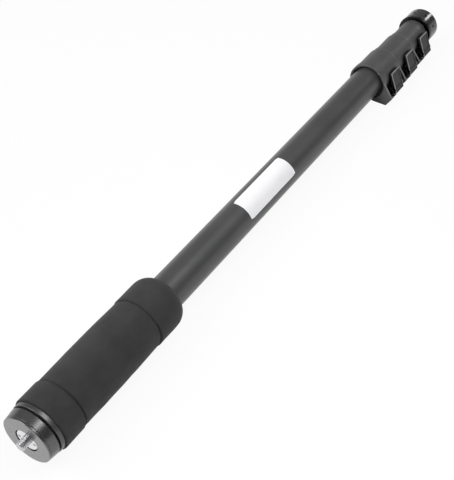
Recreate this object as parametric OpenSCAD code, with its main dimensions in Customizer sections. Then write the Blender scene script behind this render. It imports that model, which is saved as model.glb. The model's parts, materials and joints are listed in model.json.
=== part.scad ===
// Four-section camera monopod, folded and lying on its side.
// Millimetres. The origin is the centre of the camera platform's face, on the tube axis.
// +X runs along the axis to the foot, +Z is up, and the lock levers face -Y.

/* [Camera platform] */
// Diameter of the camera stud, a quarter inch
stud_d = 6.35; // [5:0.05:9.5]
// Height of the stud above the platform face
stud_h = 5.8; // [4:0.1:10]
// Chamfer on the stud's tip
stud_tip = 0.6; // [0.2:0.1:1.2]
// Diameter of the round flange that clamps the platform
stud_flange_d = 16.5; // [12:0.5:24]
// Thickness of that flange, which lies flush in the platform
stud_flange_t = 2; // [1:0.1:4]
// Diameter of the two spanner holes in the flange
spanner_hole_d = 2; // [1:0.1:3]
// Depth of the spanner holes
spanner_hole_depth = 1.2; // [0.5:0.1:1.6]
// Direction of the first spanner hole, in degrees from the top towards the levers
spanner_hole_turn = 90; // [0:5:180]
// Diameter of the stud's shank below the flange
shank_d = 8; // [6:0.5:10]
// Diameter of the platform at its face
face_d = 35.3; // [30:0.1:44]
// Diameter of the platform at its back
platform_d = 37.2; // [30:0.1:44]
// Thickness of the platform
platform_t = 8; // [5:0.1:14]
// Bright chamfer round the platform and the head flange
head_edge = 0.5; // [0.2:0.1:1]
// Diameter of the dark washer below the platform
washer_d = 35; // [28:0.5:42]
// Thickness of that washer
washer_t = 1.3; // [0.8:0.1:3]
// Diameter of the head plug's flange
flange_d = 37.8; // [30:0.1:44]
// Thickness of the head plug's flange
flange_t = 3.3; // [2:0.1:6]
// Length of the head plug inside the tube
plug_len = 20; // [17:0.5:30]
// Thickness of the plug's web under the flange
plug_web = 5.4; // [3:0.1:7]
// Wall of the stud's nut around its thread
nut_wall = 2.5; // [2:0.1:3]
// Height of the stud's nut
nut_h = 6.5; // [4:0.1:8]
// Room around the nut in the plug's hollow
nut_room = 0.7; // [0.3:0.1:1]
// Length of the stud's shank beyond its nut
shank_over = 1; // [0.2:0.1:3]
// Diameter of the grub screws that hold the plug
grub_d = 3; // [2:0.1:4]
// Width of the key hole in each grub screw
grub_key_d = 1.5; // [0.8:0.1:1.8]
// Distance of the grub screws from the plug's end
grub_inset = 4; // [3:0.1:8]
// Number of those grub screws
grub_count = 3; // [2:1:6]

/* [Tubes] */
// Outside diameter of the top tube
tube_d = 26; // [24:0.5:32]
// Drop in diameter from one tube to the next
tube_step = 3.2; // [2.8:0.1:3.6]
// Wall of every tube
tube_wall = 1.2; // [0.8:0.1:1.3]
// Length of the top tube between the head and the first lock
tube_len = 418.4; // [300:0.1:600]
// Length of each guide bush above its tube
bush_len = 18; // [12:0.5:22]
// Wall of each guide bush inside its tube
bush_wall = 1.5; // [1:0.1:2.5]
// Room between a folded bush and the part above it
park_gap = 1.3; // [0.8:0.1:4]
// Room between the head plug and the first folded bush
head_park_gap = 3.8; // [1:0.1:10]
// Room left at the stop when a section is fully out
stop_gap = 0.5; // [0.2:0.1:2]

/* [Grip] */
// Diameter of the foam grip's end bands
grip_d = 40.3; // [36:0.1:50]
// Diameter of the grip at the crown between its grooves
grip_mid_d = 40; // [36:0.1:50]
// Diameter of the grip beside its grooves
grip_waist_d = 39; // [36:0.1:50]
// Length of the grip
grip_len = 122.9; // [90:0.1:180]
// Length of the band next to the platform
grip_low_band = 17.6; // [10:0.1:30]
// Length of the band at the far end, with its rounded end
grip_top_band = 28.6; // [20:0.1:40]
// Length of the rounded far end
grip_round = 9.6; // [4:0.1:16]
// Depth of the two grooves below the waist
grip_groove = 0.6; // [0.3:0.1:2]
// Width of the two grooves
grip_groove_w = 1; // [0.5:0.1:3]
// Rounding of the bands' edges
grip_edge = 1; // [0.5:0.1:2]

/* [Label] */
// Distance from the grip to the label
label_offset = 91.7; // [10:0.1:150]
// Length of the label along the tube
label_len = 61.4; // [20:0.1:100]
// Width of the label around the tube, in degrees
label_arc = 88; // [40:1:150]
// Middle of the label, in degrees from the top towards the levers
label_turn = 26; // [-90:1:90]
// Thickness of the label
label_t = 0.15; // [0.1:0.05:0.3]

/* [Locks] */
// Wall of a lock collar over its tube
collar_wall = 2.55; // [2:0.05:4]
// Length of the raised lip at the collar's mouth
lip_len = 6; // [3:0.1:10]
// Height of that lip
lip_h = 0.65; // [0.3:0.05:1.2]
// Depth of the open ring at the collar's mouth
mouth_depth = 3; // [1:0.1:5]
// Width of the open ring at the collar's mouth
mouth_gap = 1.3; // [0.5:0.1:1.6]
// Small chamfer at the collar's ends
collar_edge = 0.6; // [0.2:0.1:1]
// Gap between neighbouring collars when folded
collar_gap = 0.3; // [0.2:0.1:1]
// Front wall of the ear at the collar's mouth
ear_wall = 2.2; // [1.6:0.1:4]
// Open pocket between that wall and the near cheek
pocket_w = 6.3; // [3:0.1:9]
// Thickness of that pocket's floor
pocket_floor = 6; // [2:0.1:7]
// Width of each of the two cheeks that hold the hinge pin
cheek_w = 2.5; // [2.2:0.1:5]
// Wall of a cheek around the pin
cheek_wall = 0.8; // [0.6:0.1:1.5]
// Collar left beyond the far cheek
collar_tail = 2.5; // [0.8:0.1:4]
// Depth of the ear's flat foot below the hinge pin
ear_drop = 8.97; // [6:0.01:12]
// Reach of the ear's foot inwards from the hinge pin
ear_foot_in = 11.4; // [8:0.1:13]
// Reach of the ear's foot outwards from the hinge pin
ear_foot_out = 0.4; // [0.2:0.1:3]
// Reach of the ear's nose outwards from the hinge pin
ear_nose_out = 5.2; // [4:0.1:7]
// Drop of the ear's nose below the hinge pin
ear_nose_drop = 1.3; // [0.5:0.1:4]
// Chamfer on the ear's corners
ear_edge = 0.8; // [0.3:0.1:1.5]

/* [Levers] */
// Width of a lever along the tube
lever_w = 14; // [11:0.1:20]
// Length of a lever
lever_len = 18.9; // [14:0.1:22]
// Thickness of a lever's plate
lever_t = 2.6; // [1.6:0.1:2.8]
// Radius of a lever's knuckle
knuckle_r = 3.6; // [3:0.1:4]
// Raised rim round a lever's face
lever_rim = 1.6; // [1:0.1:3]
// Depth of a lever's dished face
lever_dish = 0.5; // [0.2:0.1:0.9]
// Chamfer on a lever's corners
lever_edge = 0.7; // [0.3:0.1:1]
// Eccentricity of the cam in the knuckle
cam_lift = 0.6; // [0.4:0.05:0.8]
// Tilt of a closed lever's face up from the -Y direction
lever_tilt = 22; // [10:1:35]
// Direction of the hinge pin, in degrees down from the lever's face normal
pin_turn = 43.5; // [38:0.5:50]
// Height of the hinge pin above the gripped tube
pin_rise = 9.5; // [9:0.1:11]
// Diameter of the hinge pin
pin_d = 3; // [2:0.1:3.4]
// Depth of the hinge pin in the near cheek
pin_grip = 1.7; // [1.2:0.1:2]
// Width of a brake shoe along the tube
shoe_w = 6.6; // [4:0.1:9]
// Height of a brake shoe around the tube
shoe_h = 8; // [5:0.1:10]
// Land between the tube's seat and the shoe
seat_land = 1.2; // [0.8:0.1:3]
// Diameter of the screw that fixes a collar
screw_d = 2.4; // [1.6:0.1:3]
// Diameter of that screw's head
screw_head_d = 4.2; // [3:0.1:5]
// Height of that screw's head
screw_head_h = 1.1; // [0.6:0.1:1.4]
// Width of the key hole in that screw
screw_key_d = 1.7; // [1:0.1:2]

/* [Foot] */
// Gap between the last collar and the foot when folded
foot_gap = 0.6; // [0.3:0.1:2]
// Diameter of the ring above the foot
ring_d = 30.6; // [26:0.2:36]
// Thickness of that ring
ring_t = 2; // [1:0.1:5]
// Groove between the ring and the foot
foot_groove = 1.2; // [0.5:0.1:3]
// Diameter of the foot
foot_d = 29.8; // [26:0.2:36]
// Length of the foot's cup
foot_len = 15.1; // [13:0.1:22]
// Rounding at the foot's end
foot_edge = 2; // [1:0.1:3]
// Diameter of the grip holes in the foot
grip_hole_d = 2.3; // [1:0.1:3]
// Depth of the grip holes
grip_hole_depth = 3; // [1:0.1:3.5]
// Distance of the grip holes from the cup's edge
grip_hole_x = 6.1; // [3:0.1:9]
// Number of grip holes
grip_hole_count = 8; // [4:1:12]
// Direction of the first grip hole, in degrees from the top towards the levers
grip_hole_turn = 21; // [0:1:45]
// Diameter of the neck that the foot turns on
neck_d = 18.8; // [17:0.2:20]
// Length of the foot's bearing on the neck
neck_len = 6.6; // [4:0.1:8]
// Thickness of the retaining clip
clip_t = 1; // [0.6:0.1:1.5]
// Wall of the retaining clip, from the neck's groove outwards
clip_wall = 2; // [1.6:0.1:2.4]
// Thickness of the spike's nut
spike_nut_t = 2; // [1.5:0.1:3]
// Diameter of the rubber sole
sole_d = 25.2; // [22:0.2:28]
// How far the sole stands out of the cup
sole_proud = 0.5; // [0.2:0.1:2]
// Diameter of the spike
spike_d = 6; // [4:0.1:7]
// Length of the spike's point
spike_point = 4; // [3:0.1:5]
// Diameter left at the spike's tip
spike_tip_d = 1; // [0.5:0.1:2]
// How far the spike's tip lies inside the sole when drawn in
spike_inset = 0.4; // [0.2:0.1:1]
// Width across the flats of the spike's hexagonal tail
key_af = 5; // [3.5:0.1:5.5]
// Length of the hexagonal bore that keeps the spike from turning
key_len = 18; // [12:0.5:20]
// Length of the foot plug inside its tube
foot_plug_len = 22; // [21:0.5:30]

/* [Fits] */
// Radial clearance of sliding and turning fits
slide_clear = 0.05; // [0.03:0.01:0.08]
// Radial clearance of pressed and glued fits
fit_clear = 0.02; // [0.01:0.01:0.05]
// Clearance beside pieces that are held but not pressed
side_clear = 0.1; // [0.05:0.01:0.15]
// Clearance around pieces that pass without touching
loose_clear = 0.3; // [0.2:0.05:0.5]
// Clearance between a lever and the collar beside it
lever_clear = 0.5; // [0.3:0.1:1]

/* [Hidden] */
$fn = 96;
section_count = 4;
lock_count = section_count - 1;
arc_steps = 8;
hex_sides = 6;
cut_over = 1;

// Stations along the head
washer_x = platform_t;
flange_x = washer_x + washer_t;
tube_x = flange_x + flange_t;
web_x = tube_x + plug_web;
plug_end = tube_x + plug_len;
nut_af = shank_d + 2 * nut_wall;
nut_corner_r = hex_r(nut_af);
cavity_r = nut_corner_r + nut_room;
grub_x = plug_end - grub_inset;
shank_end = web_x + nut_h + shank_over;

// Chain of lengths along one lock
near_cheek_x = ear_wall + pocket_w;
pin_x = near_cheek_x + cheek_w - pin_grip;
lever_x = near_cheek_x + cheek_w + lever_clear;
far_cheek_x = lever_x + lever_w + lever_clear;
pin_end = far_cheek_x + cheek_w - side_clear;
collar_len = far_cheek_x + cheek_w + collar_tail;
lock_pitch = collar_len + collar_gap;
shoe_x = lever_x + (lever_w - shoe_w) / 2;
seat_depth = shoe_x - side_clear - seat_land;
screw_x = seat_depth / 2;
cheek_r = pin_d / 2 + cheek_wall;
pocket_back = ear_drop - knuckle_r / 2;

// Travel of each sliding section and the bushes that stop it
travel = tube_len + seat_depth - plug_len - head_park_gap - bush_len - stop_gap;
bush_spigot = lock_pitch - bush_len - park_gap;

// Stations along the foot
ring_x = tube_x + tube_len + lock_count * lock_pitch - collar_gap + foot_gap;
neck_x = ring_x + ring_t;
cup_x = neck_x + foot_groove;
clip_x = cup_x + neck_len + side_clear;
neck_end = clip_x + clip_t + 2 * side_clear;
spike_nut_x = neck_end + side_clear;
sole_x = spike_nut_x + spike_nut_t + side_clear;
cup_end = cup_x + foot_len;
sole_end = cup_end + sole_proud;
spike_end = sole_end - spike_inset;
point_x = spike_end - spike_point;
clip_in_r = neck_d / 2 - clip_wall / 2;
clip_out_r = neck_d / 2 + clip_wall / 2;
clip_room_r = clip_out_r + loose_clear;
foot_plug_x = neck_x - foot_plug_len;
key_x = foot_plug_x + side_clear;
key_end = foot_plug_x + key_len;
shoulder_x = key_end + loose_clear;

// Corner radius of a hexagon from its width across flats
function hex_r(af) = af / 2 / cos(180 / hex_sides);

// Radii and stations of each section and lock
function tube_r(k) = (tube_d - (k - 1) * tube_step) / 2;
function bore_r(k) = tube_r(k) - tube_wall;
function collar_r(k) = tube_r(k) + collar_wall;
function lock_x(k) = tube_x + tube_len + (k - 1) * lock_pitch;
function seat_x(k) = lock_x(k) + seat_depth;
function tube_top(k) = k == 1 ? tube_x : seat_x(k - 1) - travel - stop_gap;
function tube_end(k) = k == section_count ? neck_x : seat_x(k);

// Hinge pin of a lock: distance from the axis, and its place in the Y-Z section
function pin_reach(k) = tube_r(k + 1) + pin_rise;
function pin_place(k) = pin_reach(k) * [-cos(lever_tilt - pin_turn), sin(lever_tilt - pin_turn)];

// Points of a quarter ellipse from angle 0 to 90, about a centre
function quarter(c, a, b) =
    [for (i = [0 : arc_steps]) c + [a * sin(90 * i / arc_steps), b * cos(90 * i / arc_steps)]];

// Points of a rounded edge that rises to radius r just after station x
function rise(x, r, edge) = [for (p = quarter([0, 0], edge, edge)) [x + edge - p[1], r - edge + p[0]]];

// Points of a shallow swelling from radius r at its ends to radius peak in the middle
function crown(x0, x1, r, peak) = [
    for (i = [0 : arc_steps])
        let (u = i / arc_steps)
        [x0 + u * (x1 - x0), r + (peak - r) * 4 * u * (1 - u)]
];

// Point at the given distance from one corner towards another
function towards(p, q, d) = p + d * (q - p) / norm(q - p);

// Outline with every corner cut by the given distance
function cut_corners(pts, d) = [
    for (i = [0 : len(pts) - 1])
        for (other = [i + len(pts) - 1, i + 1])
            towards(pts[i], pts[other % len(pts)], d)
];

// Point on a circle about the axis where a line from p comes nearly tangent
function landing(p, r, side) =
    let (a = atan2(p[1], p[0]) + side * acos(r / norm(p)))
    (r - collar_edge) * [cos(a), sin(a)];

// A turned solid, from points given as distance along the axis and radius
module turned(points)
    rotate([0, 90, 0])
        rotate_extrude()
            polygon([for (p = points) [p[1], p[0]]]);

// A straight sleeve on the axis
module sleeve(x0, x1, r_out, r_in)
    turned([[x0, r_in], [x0, r_out], [x1, r_out], [x1, r_in]]);

// A round or hexagonal bar on the axis
module bar(x0, x1, r, sides = $fn)
    translate([x0, 0, 0])
        rotate([0, 90, 0])
            cylinder(h = x1 - x0, r = r, $fn = sides);

// Copies around the axis at one station, each drawn outwards along its own +Z
module around(x, count, turn = 0)
    for (i = [0 : count - 1])
        rotate([turn + i * 360 / count, 0, 0])
            translate([x, 0, 0])
                children();

// Section plane of a lock: children are drawn in Y and Z and rise along +X from the collar's mouth
module lock_section(k)
    translate([lock_x(k), 0, 0])
        rotate([90, 0, 90])
            children();

// The same plane turned so that its first axis is the normal of the lever's face
module lever_section(k)
    lock_section(k)
        rotate(180 - lever_tilt)
            children();

// The same plane turned so that its first axis runs from the tube axis through the hinge pin
module pin_section(k)
    lever_section(k)
        rotate(pin_turn)
            children();

module platform_disc()
    color("gray")
        let (bore = shank_d / 2 + fit_clear, pocket = stud_flange_d / 2 + side_clear)
            turned([
                [stud_flange_t, bore], [stud_flange_t, pocket], [0, pocket],
                [0, face_d / 2 - head_edge], [head_edge, face_d / 2],
                [platform_t, platform_d / 2], [platform_t, bore]
            ]);

module camera_stud()
    color("silver")
        difference() {
            turned([
                [-stud_h, 0], [-stud_h, stud_d / 2 - stud_tip], [stud_tip - stud_h, stud_d / 2],
                [0, stud_d / 2], [0, stud_flange_d / 2], [stud_flange_t, stud_flange_d / 2],
                [stud_flange_t, shank_d / 2], [shank_end, shank_d / 2], [shank_end, 0]
            ]);
            around(spanner_hole_depth, 2, spanner_hole_turn)
                translate([0, 0, (stud_d + stud_flange_d) / 4])
                    rotate([0, -90, 0])
                        cylinder(h = spanner_hole_depth + cut_over, d = spanner_hole_d);
        }

module stud_nut()
    color("silver")
        difference() {
            bar(web_x, web_x + nut_h, nut_corner_r, hex_sides);
            bar(web_x - cut_over, web_x + nut_h + cut_over, shank_d / 2 + fit_clear);
        }

module head_washer()
    color("black")
        sleeve(washer_x, flange_x, washer_d / 2, shank_d / 2 + fit_clear);

module grub_holes(clear)
    around(grub_x, grub_count)
        cylinder(h = tube_d, d = grub_d + 2 * clear);

module head_plug()
    color("dimgray")
        difference() {
            turned([
                [flange_x, shank_d / 2 + fit_clear], [flange_x, flange_d / 2 - head_edge],
                [flange_x + head_edge, flange_d / 2], [tube_x, flange_d / 2],
                [tube_x, bore_r(1) - fit_clear], [plug_end, bore_r(1) - fit_clear],
                [plug_end, cavity_r], [web_x, cavity_r], [web_x, shank_d / 2 + fit_clear]
            ]);
            grub_holes(fit_clear);
        }

module plug_grub_screws()
    color("silver")
        intersection() {
            around(grub_x, grub_count)
                difference() {
                    cylinder(h = tube_d, d = grub_d);
                    translate([0, 0, tube_r(1) - tube_wall - side_clear])
                        cylinder(h = tube_d, d = grub_key_d, $fn = hex_sides);
                }
            sleeve(tube_x, plug_end, tube_r(1) - side_clear, cavity_r + side_clear);
        }

module foam_grip()
    color("#2b2b2d")
        let (
            x0 = tube_x + side_clear,
            x1 = tube_x + grip_len,
            low = x0 + grip_low_band,
            top = x1 - grip_top_band,
            band_r = grip_d / 2,
            groove_r = grip_waist_d / 2 - grip_groove,
            bore = tube_r(1) + side_clear
        )
            turned(concat(
                [[x0, bore]],
                rise(x0, band_r, grip_edge),
                quarter([low - grip_edge, band_r - grip_edge], grip_edge, grip_edge),
                [[low, groove_r], [low + grip_groove_w, groove_r]],
                crown(low + grip_groove_w, top - grip_groove_w, grip_waist_d / 2, grip_mid_d / 2),
                [[top - grip_groove_w, groove_r], [top, groove_r]],
                rise(top, band_r, grip_edge),
                quarter([x1 - grip_round, bore], grip_round, band_r - bore)
            ));

module label()
    color("whitesmoke")
        let (r0 = tube_r(1) + fit_clear, x0 = tube_x + grip_len + label_offset)
            rotate([label_turn - label_arc / 2, 0, 0])
                rotate([0, 90, 0])
                    rotate_extrude(angle = label_arc, start = 180)
                        translate([r0, x0])
                            square([label_t, label_len]);

module tube(k)
    color("dimgray")
        difference() {
            sleeve(tube_top(k), tube_end(k), tube_r(k), bore_r(k));
            if (k == 1)
                grub_holes(fit_clear);
            if (k < section_count)
                collar_screw_hole(k, screw_d / 2 + fit_clear);
        }

module guide_bush(k)
    color("white")
        let (top = tube_top(k), spigot_r = bore_r(k) - fit_clear, hole_r = spigot_r - bush_wall)
            turned([
                [top - bush_len, hole_r], [top - bush_len, bore_r(k - 1) - slide_clear],
                [top, bore_r(k - 1) - slide_clear], [top, spigot_r],
                [top + bush_spigot, spigot_r], [top + bush_spigot, hole_r]
            ]);

// The fixing screw enters its collar opposite the lever
module collar_screw_hole(k, r)
    lever_section(k)
        translate([0, 0, screw_x])
            rotate([0, -90, 0])
                cylinder(h = collar_r(k) + cut_over, r = r);

module ear_outline(k)
    let (
        pin = pin_place(k),
        nose = pin + [-ear_nose_out, -ear_nose_drop],
        foot_out = pin + [-ear_foot_out, -ear_drop],
        foot_in = pin + [ear_foot_in, -ear_drop],
        upper = landing(nose, collar_r(k), -1),
        lower = landing(foot_in, collar_r(k), 1)
    )
        polygon(concat(
            [[0, 0], upper],
            [towards(nose, upper, ear_edge), towards(nose, foot_out, ear_edge)],
            [towards(foot_out, nose, ear_edge), towards(foot_out, foot_in, ear_edge)],
            [towards(foot_in, foot_out, ear_edge), towards(foot_in, lower, ear_edge)],
            [lower]
        ));

// The lowest part of the ear's outline, up to a height above its foot
module ear_slice(k, height)
    intersection() {
        ear_outline(k);
        translate([-2 * pin_reach(k), pin_place(k)[1] - ear_drop])
            square([2 * pin_reach(k), height]);
    }

// A cheek's outline from the axis out to the hinge pin
module cheek_outline(k)
    rotate(180 - lever_tilt + pin_turn)
        union() {
            translate([0, -cheek_r])
                square([pin_reach(k), 2 * cheek_r]);
            translate([pin_reach(k), 0])
                circle(cheek_r);
        }

// A front wall and a floor, then the two cheeks; the near one closes the back of the open pocket
module ear(k)
    lock_section(k) {
        linear_extrude(ear_wall)
            ear_outline(k);
        translate([0, 0, ear_wall / 2])
            linear_extrude(ear_wall / 2 + pocket_w + cheek_w / 2)
                ear_slice(k, pocket_floor);
        translate([0, 0, near_cheek_x])
            linear_extrude(cheek_w)
                union() {
                    ear_slice(k, pocket_back);
                    cheek_outline(k);
                }
        translate([0, 0, far_cheek_x])
            linear_extrude(cheek_w)
                cheek_outline(k);
    }

module lock_collar(k)
    color("#1c1c1d")
        let (
            x0 = lock_x(k),
            x1 = lock_x(k) + collar_len,
            r = collar_r(k),
            lip_r = collar_r(k) + lip_h,
            pin_hole = pin_d / 2 + fit_clear
        )
            difference() {
                union() {
                    turned([
                        [x0, 0], [x0, lip_r - collar_edge], [x0 + collar_edge, lip_r],
                        [x0 + lip_len, lip_r], [x0 + lip_len + lip_h, r],
                        [x1 - collar_edge, r], [x1, r - collar_edge], [x1, 0]
                    ]);
                    ear(k);
                }
                bar(x0 - cut_over, x0 + mouth_depth, tube_r(k) + mouth_gap);
                bar(x0 - cut_over, seat_x(k), tube_r(k) + fit_clear);
                bar(x0, x1 + cut_over, tube_r(k + 1) + slide_clear);
                pin_section(k) {
                    translate([0, -shoe_h / 2 - side_clear, shoe_x - side_clear])
                        cube([pin_reach(k), shoe_h + 2 * side_clear, shoe_w + 2 * side_clear]);
                    translate([pin_reach(k), 0, pin_x])
                        cylinder(h = collar_len, r = pin_hole);
                }
                collar_screw_hole(k, screw_d / 2 + fit_clear);
                lever_section(k)
                    translate([side_clear + screw_head_h - r, 0, screw_x])
                        rotate([0, -90, 0])
                            cylinder(h = r, d = screw_head_d + 2 * side_clear);
            }

module lock_lever(k)
    color("#222223")
        let (
            tip = knuckle_r - lever_len,
            back = knuckle_r - lever_t,
            pin = pin_reach(k) * [cos(pin_turn), sin(pin_turn)],
            plate = [[knuckle_r, knuckle_r], [back, knuckle_r], [back, tip], [knuckle_r, tip]]
        )
            lever_section(k)
                translate([pin[0], pin[1], lever_x])
                    difference() {
                        union() {
                            linear_extrude(lever_w)
                                polygon(cut_corners(plate, lever_edge));
                            cylinder(h = lever_w, r = knuckle_r);
                            translate(-cam_lift * [cos(pin_turn), sin(pin_turn), 0])
                                cylinder(h = lever_w, r = knuckle_r);
                        }
                        translate([knuckle_r - lever_dish, tip + lever_rim, lever_rim])
                            cube([knuckle_r, lever_len - 2 * lever_rim, lever_w - 2 * lever_rim]);
                        translate([0, 0, -cut_over])
                            cylinder(h = lever_w + 2 * cut_over, r = pin_d / 2 + slide_clear);
                    }

module lever_pin(k)
    color("silver")
        pin_section(k)
            translate([pin_reach(k), 0, pin_x + side_clear])
                cylinder(h = pin_end - pin_x - side_clear, d = pin_d);

module brake_shoe(k)
    color("white")
        pin_section(k)
            difference() {
                translate([0, -shoe_h / 2, shoe_x])
                    cube([pin_reach(k) - knuckle_r - cam_lift - side_clear, shoe_h, shoe_w]);
                cylinder(h = collar_len, r = tube_r(k + 1) + side_clear);
            }

module collar_screw(k)
    color("silver")
        let (head = collar_r(k) - screw_head_h - side_clear)
            lever_section(k)
                translate([0, 0, screw_x])
                    rotate([0, -90, 0])
                        difference() {
                            union() {
                                translate([0, 0, bore_r(k) + side_clear])
                                    cylinder(h = head - bore_r(k) - side_clear, d = screw_d);
                                translate([0, 0, head])
                                    cylinder(h = screw_head_h, d = screw_head_d);
                            }
                            translate([0, 0, collar_r(k) - side_clear - screw_head_h / 2])
                                cylinder(h = screw_head_h, d = screw_key_d, $fn = hex_sides);
                        }

module foot_ring()
    color("dimgray")
        sleeve(ring_x, neck_x, ring_d / 2, tube_r(section_count) + fit_clear);

module foot_plug()
    color("#1c1c1d")
        difference() {
            turned([
                [foot_plug_x, 0], [foot_plug_x, bore_r(section_count) - fit_clear],
                [neck_x, bore_r(section_count) - fit_clear], [neck_x, neck_d / 2],
                [clip_x, neck_d / 2], [clip_x, clip_in_r], [clip_x + clip_t + side_clear, clip_in_r],
                [clip_x + clip_t + side_clear, neck_d / 2], [neck_end, neck_d / 2], [neck_end, 0]
            ]);
            bar(foot_plug_x - cut_over, neck_end, hex_r(key_af + 2 * side_clear), hex_sides);
            bar(key_end, neck_end + cut_over, spike_d / 2 + loose_clear);
        }

module foot_cup()
    color("#141414")
        let (
            bearing = neck_d / 2 + slide_clear,
            seat = sole_d / 2 + fit_clear,
            r = foot_d / 2
        )
            difference() {
                turned(concat(
                    [[cup_x, bearing], [cup_x, r - head_edge], [cup_x + head_edge, r]],
                    quarter([cup_end - foot_edge, r - foot_edge], foot_edge, foot_edge),
                    [[cup_end, seat], [sole_x, seat], [sole_x, clip_room_r]],
                    [[clip_x - side_clear, clip_room_r], [clip_x - side_clear, bearing]]
                ));
                around(cup_x + grip_hole_x, grip_hole_count, grip_hole_turn)
                    translate([0, 0, r - grip_hole_depth])
                        cylinder(h = grip_hole_depth + cut_over, d = grip_hole_d);
            }

module foot_clip()
    color("silver")
        sleeve(clip_x, clip_x + clip_t, clip_out_r, clip_in_r + fit_clear);

module spike_nut()
    color("goldenrod")
        sleeve(spike_nut_x, sole_x - side_clear, clip_room_r - fit_clear, spike_d / 2 + slide_clear);

module foot_sole()
    color("#101010")
        sleeve(sole_x, sole_end, sole_d / 2, spike_d / 2 + loose_clear);

module spike()
    color("silver")
        union() {
            bar(key_x, point_x, hex_r(key_af), hex_sides);
            turned([
                [shoulder_x, 0], [shoulder_x, spike_d / 2], [point_x, spike_d / 2],
                [spike_end, spike_tip_d / 2], [spike_end, 0]
            ]);
        }

platform_disc();
camera_stud();
stud_nut();
head_washer();
head_plug();
plug_grub_screws();
foam_grip();
label();
for (k = [1 : section_count]) {
    tube(k);
}
for (k = [2 : section_count]) {
    guide_bush(k);
}
for (k = [1 : lock_count]) {
    lock_collar(k);
    lock_lever(k);
    lever_pin(k);
    brake_shoe(k);
    collar_screw(k);
}
foot_ring();
foot_plug();
foot_cup();
foot_clip();
spike_nut();
foot_sole();
spike();
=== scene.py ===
"""Looks of a folded four-section camera monopod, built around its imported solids.

The frame is the part's own: the origin is the centre of the camera platform's face, +X runs along the
tubes to the foot, +Z is up and the lock levers face -Y. Sizes named here are millimetres, and only the
lamps are placed in metres.
"""

import json
import math

import bmesh
import bpy
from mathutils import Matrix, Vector, noise

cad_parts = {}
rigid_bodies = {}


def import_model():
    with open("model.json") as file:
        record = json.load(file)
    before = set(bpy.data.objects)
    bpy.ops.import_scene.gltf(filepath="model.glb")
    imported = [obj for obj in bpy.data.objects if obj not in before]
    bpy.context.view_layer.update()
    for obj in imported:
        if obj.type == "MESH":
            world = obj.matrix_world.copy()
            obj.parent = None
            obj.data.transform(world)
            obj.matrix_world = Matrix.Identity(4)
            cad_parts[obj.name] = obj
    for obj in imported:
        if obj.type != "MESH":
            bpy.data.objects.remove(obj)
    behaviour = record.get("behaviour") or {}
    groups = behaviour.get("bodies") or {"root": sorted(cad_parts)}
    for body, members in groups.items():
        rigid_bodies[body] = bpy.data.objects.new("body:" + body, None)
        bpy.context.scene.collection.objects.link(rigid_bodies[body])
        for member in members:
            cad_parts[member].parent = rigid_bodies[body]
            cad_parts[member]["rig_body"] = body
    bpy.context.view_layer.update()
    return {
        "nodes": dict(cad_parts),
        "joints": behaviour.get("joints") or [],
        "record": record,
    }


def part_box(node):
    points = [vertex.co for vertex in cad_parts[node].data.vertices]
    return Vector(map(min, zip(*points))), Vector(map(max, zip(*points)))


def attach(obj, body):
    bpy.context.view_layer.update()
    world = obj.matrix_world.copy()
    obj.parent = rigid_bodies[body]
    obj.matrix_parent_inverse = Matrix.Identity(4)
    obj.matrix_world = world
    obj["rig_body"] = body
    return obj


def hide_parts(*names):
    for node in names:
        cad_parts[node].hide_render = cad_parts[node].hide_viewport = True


MM = 0.001
TURN = 2 * math.pi
QUARTER = math.pi / 2

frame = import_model()
nodes = frame["nodes"]
joints = {joint["name"]: joint for joint in frame["joints"]}
slot_of = {part["node"]: part["material_slot"] for part in frame["record"]["subparts"]}
LOCKS = (1, 2, 3)


def span(node):
    """First and last station of a CAD node along the axis."""
    low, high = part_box(node)
    return low.x / MM, high.x / MM


def outer_radius(node):
    """Radius of a round CAD node about the axis."""
    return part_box(node)[1].z / MM


TUBE_R = {k: outer_radius(f"tube_{k}") for k in (1, 2, 3, 4)}

# Meshes

SEGMENTS = 160  # steps around a turned piece
FILLET_STEPS = 4
ROD_SIDES = 48
SHARP = math.radians(35)
FLAT_WEIGHT = 80  # how strongly large faces set the shading
CORNER_LIMIT = 0.5  # keeps the corners of an inset outline from shooting out
EDGE = 0.45  # rounding of the machined edges
OVERCUT = 1.0  # length by which a cutter passes the surface that it opens


def solid(name, points, faces):
    """A closed piece from points in millimetres."""
    mesh = bpy.data.meshes.new(name)
    mesh.from_pydata([Vector(point) * MM for point in points], [], faces)
    work = bmesh.new()
    work.from_mesh(mesh)
    bmesh.ops.recalc_face_normals(work, faces=work.faces)
    work.to_mesh(mesh)
    work.free()
    piece = bpy.data.objects.new(name, mesh)
    bpy.context.scene.collection.objects.link(piece)
    return piece


def grid_faces(rows, columns, closed_rows):
    """Quads of a grid that closes around its columns, and around its rows where asked."""
    faces = []
    for i in range(rows if closed_rows else rows - 1):
        here = i * columns
        after = (i + 1) % rows * columns
        for j in range(columns):
            beside = (j + 1) % columns
            faces.append((here + j, after + j, after + beside, here + beside))
    return faces


def rounded(corners):
    """Points of a closed outline from corners that each give a place and a fillet."""
    outline = []
    for i, (a, b, fillet) in enumerate(corners):
        here = Vector((a, b))
        back = (Vector(corners[i - 1][:2]) - here).normalized()
        ahead = (Vector(corners[(i + 1) % len(corners)][:2]) - here).normalized()
        if not fillet:
            outline.append(here)
            continue
        half = back.angle(ahead) / 2
        centre = here + (back + ahead).normalized() * fillet / math.sin(half)
        start = here + back * fillet / math.tan(half) - centre
        end = here + ahead * fillet / math.tan(half) - centre
        for step in range(FILLET_STEPS + 1):
            outline.append(centre + start.lerp(end, step / FILLET_STEPS).normalized() * fillet)
    return outline


def on_axis(x, r, angle):
    """The point at station x and radius r, with the angle counted from the top towards the levers."""
    return Vector((x, -r * math.sin(angle), r * math.cos(angle)))


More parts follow.
